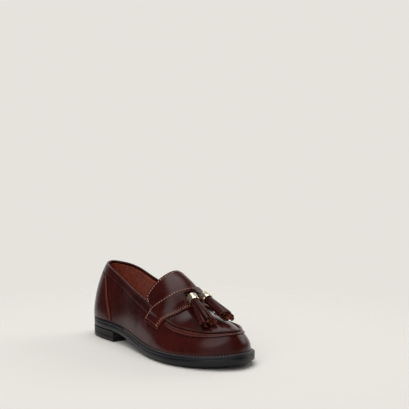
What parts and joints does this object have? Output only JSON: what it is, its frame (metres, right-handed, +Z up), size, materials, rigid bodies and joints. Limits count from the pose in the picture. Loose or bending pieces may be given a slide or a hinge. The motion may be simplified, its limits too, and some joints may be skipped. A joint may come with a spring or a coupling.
{
  "type": "tassel loafer",
  "caption": "Low-heeled slip-on dress shoe with a moccasin apron, saddle strap and two tassels on a welted rubber sole; open and hollow inside.",
  "frame": {"origin": "middle of the shoe's bounding box, on the floor that it stands on", "axes": "+X from the heel to the toe, +Y towards the inner side of the foot, +Z up"},
  "size_m": [0.2624, 0.0936, 0.0901],
  "materials": {
    "black_rubber": "satin black, smooth sides, fine tread underneath",
    "burgundy_leather": "polished smooth leather with a high gloss",
    "brown_lining": "matt napped lining leather",
    "pale_gold": "polished pale gold plating"
  },
  "bodies": {
    "root": {"upper": "burgundy_leather", "tongue": "burgundy_leather", "saddle_strap": "burgundy_leather", "heel_counter": "burgundy_leather", "collar_band": "burgundy_leather", "topline_binding": "burgundy_leather", "apron_band": "burgundy_leather", "apron_seam": "burgundy_leather", "tassel_outer": "burgundy_leather", "tassel_inner": "burgundy_leather", "tassel_lace": "burgundy_leather", "ferrule_outer": "pale_gold", "ferrule_inner": "pale_gold", "insole": "brown_lining", "welt": "black_rubber", "outsole": "black_rubber", "heel_block": "black_rubber", "top_lift": "black_rubber"}
  },
  "joints": []
}
